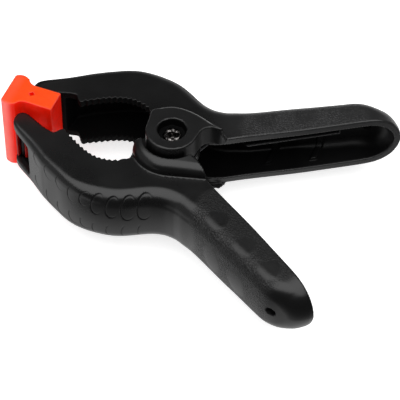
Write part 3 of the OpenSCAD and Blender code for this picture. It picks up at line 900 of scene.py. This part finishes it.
def spring_object():
    R, wr, zt = 6.4, 1.1, 8.2
    leg, L = 70.0, 27
    turns = 5.5 * 360 + 2 * leg
    k = 420
    a0 = leg - 90
    ang = np.radians(a0 - np.linspace(0, 1, k + 1) * (6 * 360 - 180 + 2 * leg))
    c = np.stack([R * np.cos(ang), R * np.sin(ang), zt - 2 * zt * np.linspace(0, 1, k + 1)], 1)
    u1 = np.array([math.cos(math.radians(leg)), math.sin(math.radians(leg))])
    A_ = np.array([[c[0, 0] + t * u1[0], c[0, 1] + t * u1[1], zt] for t in np.linspace(L, 0, 28)[:-1]])
    B_ = np.array([[c[-1, 0] + t * u1[0], c[-1, 1] - t * u1[1], -zt] for t in np.linspace(0, L, 28)[1:]])
    path = np.vstack([A_, c, B_])
    T = np.gradient(path, axis=0)
    T /= np.linalg.norm(T, axis=1)[:, None]
    Hh = np.stack([T[:, 0], T[:, 1], np.zeros(len(T))], 1)
    Hh /= np.linalg.norm(Hh, axis=1)[:, None]
    S_ = np.stack([Hh[:, 1], -Hh[:, 0], np.zeros(len(T))], 1)
    U_ = np.cross(S_, T)
    m = 16
    # the cut ends are closed with flat faces
    rad = np.full(len(path), wr)
    t = 2 * np.pi * np.arange(m) / m
    V = path[:, None] + wr * (np.cos(t)[None, :, None] * S_[:, None] + np.sin(t)[None, :, None] * U_[:, None])
    V = V.reshape(-1, 3)
    n = len(path)
    faces = []
    i, j = np.meshgrid(np.arange(n - 1), np.arange(m), indexing="ij")
    i, j = i.ravel(), j.ravel()
    faces = np.stack([i * m + j, i * m + (j + 1) % m, (i + 1) * m + (j + 1) % m, (i + 1) * m + j], 1)
    me = bpy.data.meshes.new("torsion_spring_wire")
    fl = [tuple(q) for q in faces.tolist()] + [tuple(range(m - 1, -1, -1)), tuple(range((n - 1) * m, n * m))]
    me.from_pydata([tuple(v) for v in to_row(V)], [], fl)
    me.update()
    me.validate()
    for p in me.polygons:
        p.use_smooth = len(p.vertices) == 4
    o = bpy.data.objects.new("torsion_spring_wire", me)
    bpy.context.scene.collection.objects.link(o)
    return o


# ------------------------------------------------------------ materials
def nodes_of(mat):
    mat.use_nodes = True
    nt = mat.node_tree
    nt.nodes.clear()
    out = nt.nodes.new("ShaderNodeOutputMaterial")
    bsdf = nt.nodes.new("ShaderNodeBsdfPrincipled")
    nt.links.new(bsdf.outputs[0], out.inputs[0])
    return nt, bsdf


def node(nt, kind, **kw):
    n = nt.nodes.new(kind)
    for k, v in kw.items():
        setattr(n, k, v)
    return n


def set_in(n, **kw):
    for k, v in kw.items():
        n.inputs[k.replace("_", " ")].default_value = v


def ramp(nt, a, b, lo, hi):
    n = node(nt, "ShaderNodeMapRange")
    n.inputs[1].default_value, n.inputs[2].default_value = a, b
    n.inputs[3].default_value, n.inputs[4].default_value = lo, hi
    return n


def mat_nylon():
    m = bpy.data.materials.new("black_nylon")
    nt, b = nodes_of(m)
    set_in(b, IOR=1.5, Specular_IOR_Level=0.5)
    co = node(nt, "ShaderNodeTexCoord")
    # leather grain: creases between rounded cells
    warp = node(nt, "ShaderNodeTexNoise")
    set_in(warp, Scale=420.0, Detail=2.0)
    nt.links.new(co.outputs["Object"], warp.inputs["Vector"])
    mixv = node(nt, "ShaderNodeVectorMath", operation="MULTIPLY_ADD")
    mixv.inputs[1].default_value = (0.0012, 0.0012, 0.0012)
    nt.links.new(warp.outputs["Color"], mixv.inputs[0])
    nt.links.new(co.outputs["Object"], mixv.inputs[2])
    vor = node(nt, "ShaderNodeTexVoronoi", feature="DISTANCE_TO_EDGE")
    set_in(vor, Scale=950.0)
    nt.links.new(mixv.outputs[0], vor.inputs["Vector"])
    crease = ramp(nt, 0.0, 0.22, 0.0, 1.0)
    nt.links.new(vor.outputs["Distance"], crease.inputs[0])
    att = node(nt, "ShaderNodeAttribute", attribute_name="grain")
    inv = ramp(nt, 0.0, 1.0, 1.0, 0.0)
    nt.links.new(att.outputs["Fac"], inv.inputs[0])
    hmax = node(nt, "ShaderNodeMath", operation="MAXIMUM")
    nt.links.new(crease.outputs[0], hmax.inputs[0])
    nt.links.new(inv.outputs[0], hmax.inputs[1])
    bump = node(nt, "ShaderNodeBump")
    set_in(bump, Strength=1.0, Distance=0.000105)
    nt.links.new(hmax.outputs[0], bump.inputs["Height"])
    fine = node(nt, "ShaderNodeTexNoise")
    set_in(fine, Scale=2600.0, Detail=3.0)
    nt.links.new(co.outputs["Object"], fine.inputs["Vector"])
    bump2 = node(nt, "ShaderNodeBump")
    set_in(bump2, Strength=0.5, Distance=0.000012)
    nt.links.new(fine.outputs["Fac"], bump2.inputs["Height"])
    nt.links.new(bump.outputs[0], bump2.inputs["Normal"])
    nt.links.new(bump2.outputs[0], b.inputs["Normal"])
    # roughness and colour vary a little over the moulding
    big = node(nt, "ShaderNodeTexNoise")
    set_in(big, Scale=70.0, Detail=4.0)
    nt.links.new(co.outputs["Object"], big.inputs["Vector"])
    rr = ramp(nt, 0.3, 0.7, 0.26, 0.32)
    nt.links.new(big.outputs["Fac"], rr.inputs[0])
    radd = node(nt, "ShaderNodeMath", operation="MULTIPLY_ADD")
    radd.inputs[1].default_value = 0.11
    nt.links.new(att.outputs["Fac"], radd.inputs[0])
    nt.links.new(rr.outputs[0], radd.inputs[2])
    # painted shade: the marked places are rougher and keep almost no gloss
    painted_shade = node(nt, "ShaderNodeAttribute", attribute_name="painted_shade")
    painted_shade_rough = node(nt, "ShaderNodeMath", operation="MULTIPLY_ADD")
    painted_shade_rough.inputs[1].default_value = 0.3
    nt.links.new(painted_shade.outputs["Fac"], painted_shade_rough.inputs[0])
    nt.links.new(radd.outputs[0], painted_shade_rough.inputs[2])
    nt.links.new(painted_shade_rough.outputs[0], b.inputs["Roughness"])
    painted_shade_spec = ramp(nt, 0.0, 1.0, 0.5, 0.05)
    nt.links.new(painted_shade.outputs["Fac"], painted_shade_spec.inputs[0])
    nt.links.new(painted_shade_spec.outputs[0], b.inputs["Specular IOR Level"])
    # painted light: a lighter base colour where marked, on top of the random tone of the moulding
    painted_light_tone = node(nt, "ShaderNodeAttribute", attribute_name="painted_light_tone")
    tadd = node(nt, "ShaderNodeMath", operation="MULTIPLY_ADD")
    tadd.inputs[1].default_value = 0.16
    nt.links.new(big.outputs["Fac"], tadd.inputs[0])
    tscale = ramp(nt, 0.0, 1.0, 0.0, 0.84)
    nt.links.new(painted_light_tone.outputs["Fac"], tscale.inputs[0])
    nt.links.new(tscale.outputs[0], tadd.inputs[2])
    cr = node(nt, "ShaderNodeValToRGB")
    cr.color_ramp.elements[0].color = (0.0020, 0.0020, 0.0021, 1)
    cr.color_ramp.elements[1].color = (0.0150, 0.0150, 0.0154, 1)
    nt.links.new(tadd.outputs[0], cr.inputs[0])
    nt.links.new(cr.outputs[0], b.inputs["Base Color"])
    return m


def mat_pad():
    m = bpy.data.materials.new("orange_pad")
    nt, b = nodes_of(m)
    # painted glow: the pad gives off a faint red light of its own
    set_in(b, IOR=1.48, Specular_IOR_Level=0.14, Subsurface_Weight=0.35, Subsurface_Radius=(0.0040, 0.0004, 0.0002), Subsurface_Scale=1.0, Emission_Color=(0.9, 0.004, 0.001, 1), Emission_Strength=0.13)
    co = node(nt, "ShaderNodeTexCoord")
    big = node(nt, "ShaderNodeTexNoise")
    set_in(big, Scale=160.0, Detail=4.0)
    nt.links.new(co.outputs["Object"], big.inputs["Vector"])
    # painted light: dark red for the fork's shade, red sides, a pale painted highlight at the ends, orange for the lit
    # top
    cr = node(nt, "ShaderNodeValToRGB")
    el = cr.color_ramp.elements
    el[0].position, el[0].color = 0.08, (0.12, 0.004, 0.0030, 1)
    el[1].position, el[1].color = 0.92, (0.98, 0.084, 0.0125, 1)
    for at_, c_ in ((0.25, (0.88, 0.014, 0.0026, 1)), (0.50, (0.90, 0.120, 0.085, 1))):
        e_ = el.new(at_)
        e_.color = c_
    att = node(nt, "ShaderNodeAttribute", attribute_name="painted_light_hue")
    tadd = node(nt, "ShaderNodeMath", operation="MULTIPLY_ADD")
    tadd.inputs[1].default_value = 0.16
    nt.links.new(big.outputs["Fac"], tadd.inputs[0])
    tsc = ramp(nt, 0.0, 1.0, 0.0, 0.84)
    nt.links.new(att.outputs["Fac"], tsc.inputs[0])
    nt.links.new(tsc.outputs[0], tadd.inputs[2])
    nt.links.new(tadd.outputs[0], cr.inputs[0])
    nt.links.new(cr.outputs[0], b.inputs["Base Color"])
    # the painted glow fades out in the fork's shade
    painted_glow = ramp(nt, 0.0, 0.2, 0.0, 0.13)
    nt.links.new(att.outputs["Fac"], painted_glow.inputs[0])
    nt.links.new(painted_glow.outputs[0], b.inputs["Emission Strength"])
    tip = node(nt, "ShaderNodeAttribute", attribute_name="tip")
    stip = ramp(nt, 0.0, 1.0, 0.10, 1.0)
    nt.links.new(tip.outputs["Fac"], stip.inputs[0])
    nt.links.new(stip.outputs[0], b.inputs["Specular IOR Level"])
    rr = ramp(nt, 0.3, 0.7, 0.34, 0.44)
    nt.links.new(big.outputs["Fac"], rr.inputs[0])
    nt.links.new(rr.outputs[0], b.inputs["Roughness"])
    fine = node(nt, "ShaderNodeTexNoise")
    set_in(fine, Scale=1800.0, Detail=3.0)
    nt.links.new(co.outputs["Object"], fine.inputs["Vector"])
    bump = node(nt, "ShaderNodeBump")
    set_in(bump, Strength=0.6, Distance=0.00003)
    nt.links.new(fine.outputs["Fac"], bump.inputs["Height"])
    nt.links.new(bump.outputs[0], b.inputs["Normal"])
    return m


def mat_steel(name, tint, rough, scale, stretch=(1, 1, 1), dark=0.78, span=(0.0, 1.0)):
    m = bpy.data.materials.new(name)
    nt, b = nodes_of(m)
    set_in(b, Metallic=1.0)
    co = node(nt, "ShaderNodeTexCoord")
    mp = node(nt, "ShaderNodeMapping")
    mp.inputs["Scale"].default_value = stretch
    nt.links.new(co.outputs["Object"], mp.inputs["Vector"])
    n = node(nt, "ShaderNodeTexNoise")
    set_in(n, Scale=scale, Detail=4.0)
    nt.links.new(mp.outputs[0], n.inputs["Vector"])
    cr = node(nt, "ShaderNodeValToRGB")
    cr.color_ramp.elements[0].position, cr.color_ramp.elements[1].position = span
    cr.color_ramp.elements[0].color = tuple(c * dark for c in tint) + (1,)
    cr.color_ramp.elements[1].color = tuple(tint) + (1,)
    nt.links.new(n.outputs["Fac"], cr.inputs[0])
    nt.links.new(cr.outputs[0], b.inputs["Base Color"])
    rr = ramp(nt, 0.3, 0.7, rough - 0.06, rough + 0.08)
    nt.links.new(n.outputs["Fac"], rr.inputs[0])
    nt.links.new(rr.outputs[0], b.inputs["Roughness"])
    bump = node(nt, "ShaderNodeBump")
    set_in(bump, Strength=0.5, Distance=0.00002)
    nt.links.new(n.outputs["Fac"], bump.inputs["Height"])
    nt.links.new(bump.outputs[0], b.inputs["Normal"])
    return m


NYLON = mat_nylon()
PAD = mat_pad()
SPRING = mat_steel("oil_black_wire", (0.085, 0.085, 0.09), 0.30, 900.0, (1, 1, 6))
RIVET = mat_steel("dark_rivet", (0.34, 0.32, 0.31), 0.24, 900.0, (1, 1, 1), 0.03, (0.44, 0.66))
PIN = mat_steel("black_pin", (0.030, 0.030, 0.031), 0.38, 900.0)

# ------------------------------------------------------------ the pieces
up = field_object("upper_arm_moulding", upper_arm, (-66, -12, -23.4), (80, 54.6, 23.4), 0.6, lambda V: arm_attrs(V, (38.5, 54.5, 72.5), True), arm_detail)
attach(up, "upper_arm")
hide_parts("upper_arm")
TURN = np.array([1, -1, -1])
low = field_object("lower_arm_moulding", lower_arm, (-66, -54.6, -23.4), (80, 12.6, 23.4), 0.6, lambda V: arm_attrs(V * TURN, (41.3, 57.4, 72.2), False), lambda V: arm_detail(V * TURN))
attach(low, "lower_arm")
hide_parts("lower_arm")
for o in (up, low):
    o.data.materials.append(NYLON)

for side in ("upper", "lower"):
    p = pad_object(side + "_jaw_pad", 1 if side == "upper" else -1)
    p.data.materials.append(PAD)
    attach(p, side + "_pad")
    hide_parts(side + "_pad")

sp = spring_object()
sp.data.materials.append(SPRING)
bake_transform(sp)
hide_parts("torsion_spring")

rv = rivet_object()
rv.data.materials.append(RIVET)
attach(rv, "lower_arm")
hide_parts("pivot_rivet")
wa = washer_object()
wa.data.materials.append(RIVET)
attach(wa, "lower_arm")
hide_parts("rivet_washer")
for side in ("upper", "lower"):
    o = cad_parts[side + "_pad_pin"]
    for i in range(len(o.material_slots)):
        o.material_slots[i].material = PIN

# ------------------------------------------------------------ stage, light, camera
def stage():
    me = bpy.data.meshes.new("floor")
    v = [(-6, -6, 0), (6, -6, 0), (6, 6, 0), (-6, 6, 0)]
    me.from_pydata(v, [], [(0, 1, 2, 3)])
    o = bpy.data.objects.new("floor", me)
    bpy.context.scene.collection.objects.link(o)
    m = bpy.data.materials.new("pale_floor")
    nt, b = nodes_of(m)
    set_in(b, Base_Color=(0.80, 0.80, 0.80, 1), Roughness=0.9, Specular_IOR_Level=0.1, Emission_Color=(1, 1, 1, 1), Emission_Strength=0.74)
    me.materials.append(m)
    o.visible_glossy = False
    return o


def area(name, at, look, sx, sy, watts, color=(1, 1, 1)):
    d = bpy.data.lights.new(name, "AREA")
    d.shape = "RECTANGLE"
    d.size, d.size_y = sx, sy
    d.energy = watts
    d.color = color
    o = bpy.data.objects.new(name, d)
    bpy.context.scene.collection.objects.link(o)
    at, look = Vector(at), Vector(look)
    o.location = at
    o.rotation_euler = (look - at).to_track_quat("-Z", "Y").to_euler()
    o.visible_camera = False
    return o


AZ, EL, RO, F = 0.38610, 0.86552, 0.00199, 2317.54
D, TX, TY = 912.54, -10.8678, 12.9730
ca, sa = math.cos(AZ), math.sin(AZ)
ce, se = math.cos(EL), math.sin(EL)
b = Vector((sa * ce, -ca * ce, se))
r = Vector((ca, sa, 0))
u = b.cross(r)
r2 = math.cos(RO) * r + math.sin(RO) * u
u2 = -math.sin(RO) * r + math.cos(RO) * u
C = -TX * r2 - TY * u2 + D * b
cam = bpy.data.cameras.new("camera")
cam.sensor_fit = "HORIZONTAL"
cam.sensor_width = 36.0
cam.lens = F * 36.0 / 400.0
cam.clip_start, cam.clip_end = 0.05, 50.0
co = bpy.data.objects.new("camera", cam)
bpy.context.scene.collection.objects.link(co)
M = Matrix((r2, u2, b)).transposed().to_4x4()
M.translation = Vector(to_row(np.array(C)))
co.matrix_world = M
bpy.context.scene.camera = co

stage()


def flag(name, corners):
    """a black card that only reflections see"""
    me = bpy.data.meshes.new(name)
    me.from_pydata(corners, [], [(0, 1, 2, 3)])
    o = bpy.data.objects.new(name, me)
    bpy.context.scene.collection.objects.link(o)
    m = bpy.data.materials.new(name)
    nt, b = nodes_of(m)
    set_in(b, Base_Color=(0.01, 0.01, 0.01, 1), Roughness=1.0, Specular_IOR_Level=0.0)
    me.materials.append(m)
    o.visible_camera = o.visible_diffuse = o.visible_shadow = o.visible_transmission = False
    return o


def ahead(dist, across, up):
    """a point in front of the clamp, towards the viewer"""
    return (-0.0036 + sa * dist + ca * across, -ca * dist + sa * across, up)


def table_card():
    """what the gloss sees of the table: pale close to the clamp, dark further off and to the right"""
    n, st_ = 70, 0.006
    x = np.linspace(-n * st_, n * st_, 2 * n + 1)
    gx, gy = np.meshgrid(x, x, indexing="ij")
    P = np.stack([gx.ravel() * 1000 + 3.6, gy.ravel() * 1000], 1)
    body = np.vstack([IC, OC[::-1]])
    ring = np.vstack([body, body[:1]])
    d = np.full(len(P), 1e9)
    for m_ in (1, -1):
        Pm = P * np.array([1, m_])
        e = seg_dist(Pm, ring)
        d = np.minimum(d, np.where(inside(Pm, body), 0, e))
    lum = np.interp(d, [0, 8, 19, 30, 42, 65], [0.82, 0.76, 0.56, 0.27, 0.12, 0.07])
    lum *= 1 - 0.35 * step(P[:, 0], 45, 70) * step(P[:, 1], -5, 10)
    left = step(-P[:, 0], 42, 58) * step(-P[:, 1], -5, 10)
    lum = lum * (1 - left) + left * (0.66 + 0.2 * step(d, 15, 50))
    # the table is bright again behind the clamp
    lum = np.maximum(lum, 0.9 * step(P[:, 1], 66, 92))
    me = bpy.data.meshes.new("table_card")
    N_ = 2 * n + 1
    i, j = np.meshgrid(np.arange(N_ - 1), np.arange(N_ - 1), indexing="ij")
    a = (i * N_ + j).ravel()
    me.from_pydata([(p[0], p[1], 0.0002) for p in np.stack([gx.ravel(), gy.ravel()], 1)], [], np.stack([a, a + N_, a + N_ + 1, a + 1], 1).tolist())
    at = me.attributes.new("lum", "FLOAT", "POINT")
    at.data.foreach_set("value", lum.astype(np.float32))
    o = bpy.data.objects.new("table_card", me)
    bpy.context.scene.collection.objects.link(o)
    m = bpy.data.materials.new("table_card")
    nt, b = nodes_of(m)
    set_in(b, Base_Color=(0, 0, 0, 1), Specular_IOR_Level=0.0, Emission_Color=(1, 1, 1, 1))
    t_ = node(nt, "ShaderNodeAttribute", attribute_name="lum")
    nt.links.new(t_.outputs["Fac"], b.inputs["Emission Strength"])
    me.materials.append(m)
    o.visible_camera = o.visible_diffuse = o.visible_shadow = o.visible_transmission = False
    return o


def glow(name, corners, lum):
    """a paler card that only reflections see"""
    o = flag(name, corners)
    set_in(o.active_material.node_tree.nodes["Principled BSDF"], Emission_Color=(1, 1, 1, 1), Emission_Strength=lum)
    return o


table_card()
glow("flag_front", [ahead(0.115, -0.07, 0.004), ahead(0.115, 0.5, 0.004), ahead(0.42, 0.8, 0.40), ahead(0.42, -0.2, 0.40)], 0.05)
glow("card_behind_low", [ahead(-1.0, -1.2, 0.0), ahead(-1.0, 1.2, 0.0), ahead(-1.0, 1.2, 0.16), ahead(-1.0, -1.2, 0.16)], 0.8)
glow("card_behind", [ahead(-1.0, -1.2, 0.16), ahead(-1.0, 1.2, 0.16), ahead(-1.0, 1.2, 0.8), ahead(-1.0, -1.2, 0.8)], 0.19)
glow("card_left", [ahead(-0.2, -0.7, 0.0), ahead(0.6, -0.7, 0.0), ahead(0.6, -0.7, 0.5), ahead(-0.2, -0.7, 0.5)], 0.35)
# a long overhead softbox, lying along the line of sight
H = 0.9
vx, vy = sa, -ca
cx, cy = -0.0036 + vx * 0.29 * H, vy * 0.29 * H
top = area("softbox", (cx, cy, H), (cx, cy, 0), 1.9, 1.48 * H, 16.4)
top.rotation_euler = (0, 0, AZ)

w = bpy.data.worlds.new("studio")
bpy.context.scene.world = w
w.use_nodes = True
nt = w.node_tree
nt.nodes.clear()
out = nt.nodes.new("ShaderNodeOutputWorld")
bg = nt.nodes.new("ShaderNodeBackground")
bg.inputs[0].default_value = (1, 1, 1, 1)
bg.inputs[1].default_value = 0.05
nt.links.new(bg.outputs[0], out.inputs[0])

sc = bpy.context.scene
sc.view_settings.view_transform = "Standard"
sc.view_settings.look = "None"
sc.view_settings.exposure = 0.0
sc.view_settings.gamma = 1.0
